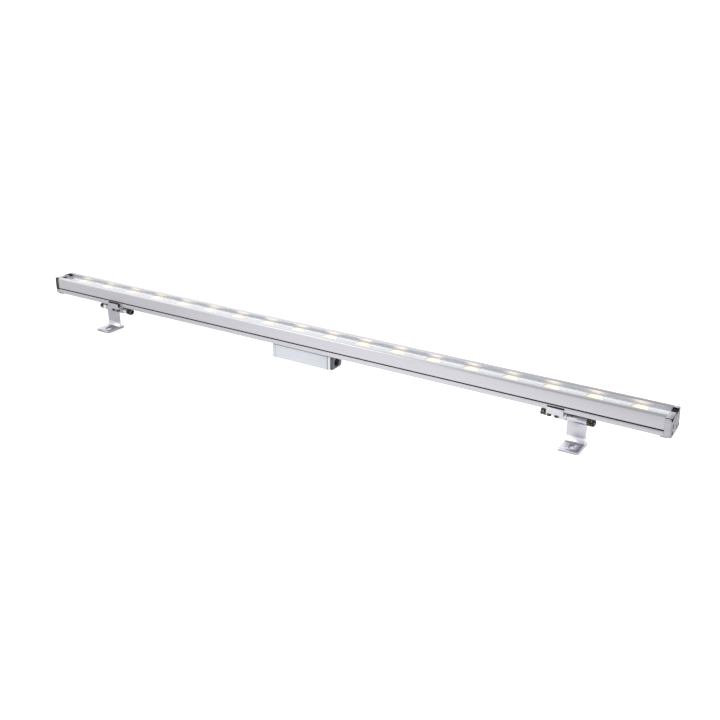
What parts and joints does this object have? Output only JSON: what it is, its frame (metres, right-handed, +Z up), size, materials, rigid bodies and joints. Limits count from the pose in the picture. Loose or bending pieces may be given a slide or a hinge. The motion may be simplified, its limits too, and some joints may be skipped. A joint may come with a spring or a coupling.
{
  "type": "led strip batten",
  "caption": "Slim linear LED batten: anodised profile with glazed top window and lenses, under-slung connector box and two sliding, tilting foot brackets.",
  "frame": {"origin": "on the surface the feet stand on, at the centre of the bounding box in X and Y", "axes": "+X along the batten, towards the end whose connector box socket faces that way; -Y is the front, where the foot toes point; +Z is up, the way the light leaves"},
  "size_m": [1.024, 0.0502, 0.0726],
  "materials": {
    "profile_anodised": "satin natural anodised extrusion",
    "window_glass": "lightly frosted toughened pane",
    "seal_rubber": "matt black",
    "tray_white": "white moulded reflector",
    "led_board": "white solder mask with yellow emitters",
    "lens_clear": "clear acrylic, lit warm white",
    "cast_cap": "die cast, fine blasted",
    "black_steel": "black oxide with brown cast",
    "vent_plastic": "moulded black",
    "plate_anodised": "satin anodised",
    "box_coating": "bluish silver satin coating",
    "connector_plastic": "moulded black",
    "driver_board": "green solder mask",
    "bracket_aluminium": "bright extruded, clear anodised",
    "zinc_steel": "zinc plated"
  },
  "bodies": {
    "luminaire": {"profile": "profile_anodised", "window_pane": "window_glass", "window_gasket": "seal_rubber", "right_end_gasket": "seal_rubber", "left_end_gasket": "seal_rubber", "reflector_tray": "tray_white", "led_board_1": "led_board", "led_board_2": "led_board", "lens_01": "lens_clear", "lens_02": "lens_clear", "lens_03": "lens_clear", "lens_04": "lens_clear", "lens_05": "lens_clear", "lens_06": "lens_clear", "lens_07": "lens_clear", "lens_08": "lens_clear", "lens_09": "lens_clear", "lens_10": "lens_clear", "lens_11": "lens_clear", "lens_12": "lens_clear", "lens_13": "lens_clear", "lens_14": "lens_clear", "lens_15": "lens_clear", "lens_16": "lens_clear", "lens_17": "lens_clear", "lens_18": "lens_clear", "right_end_cap": "cast_cap", "left_end_cap": "cast_cap", "right_cap_screw_front": "black_steel", "right_cap_screw_rear": "black_steel", "left_cap_screw_front": "black_steel", "left_cap_screw_rear": "black_steel", "vent_plug": "vent_plastic", "box_mount_plate": "plate_anodised", "box_housing": "box_coating", "box_cover_left": "box_coating", "box_cover_right": "box_coating", "connector_shell": "connector_plastic", "connector_insert": "connector_plastic", "driver_board": "driver_board"},
    "right_clamp": {"right_clamp_liner": "seal_rubber", "right_rear_jaw": "bracket_aluminium", "right_front_jaw": "bracket_aluminium", "right_jaw_screw_1": "black_steel", "right_jaw_screw_2": "black_steel", "right_pivot_bolt": "black_steel", "right_pivot_nut": "black_steel", "right_pivot_spacer": "zinc_steel", "right_pivot_bush": "zinc_steel"},
    "left_clamp": {"left_clamp_liner": "seal_rubber", "left_rear_jaw": "bracket_aluminium", "left_front_jaw": "bracket_aluminium", "left_jaw_screw_1": "black_steel", "left_jaw_screw_2": "black_steel", "left_pivot_bolt": "black_steel", "left_pivot_nut": "black_steel", "left_pivot_spacer": "zinc_steel", "left_pivot_bush": "zinc_steel"},
    "right_foot": {"right_foot_bracket": "bracket_aluminium"},
    "left_foot": {"left_foot_bracket": "bracket_aluminium"}
  },
  "joints": [
    {"name": "right_clamp_slide", "type": "slide", "parent": "luminaire", "child": "right_clamp", "axis": [1, 0, 0], "range_m": [-0.25, 0.07]},
    {"name": "left_clamp_slide", "type": "slide", "parent": "luminaire", "child": "left_clamp", "axis": [1, 0, 0], "range_m": [-0.07, 0.25]},
    {"name": "right_foot_tilt", "type": "hinge", "parent": "right_clamp", "child": "right_foot", "pos_m": [0.3965, 0.0029, 0.0341], "axis": [1, 0, 0], "range_deg": [-90, 90]},
    {"name": "left_foot_tilt", "type": "hinge", "parent": "left_clamp", "child": "left_foot", "pos_m": [-0.3993, 0.0029, 0.0341], "axis": [1, 0, 0], "range_deg": [-90, 90]}
  ]
}
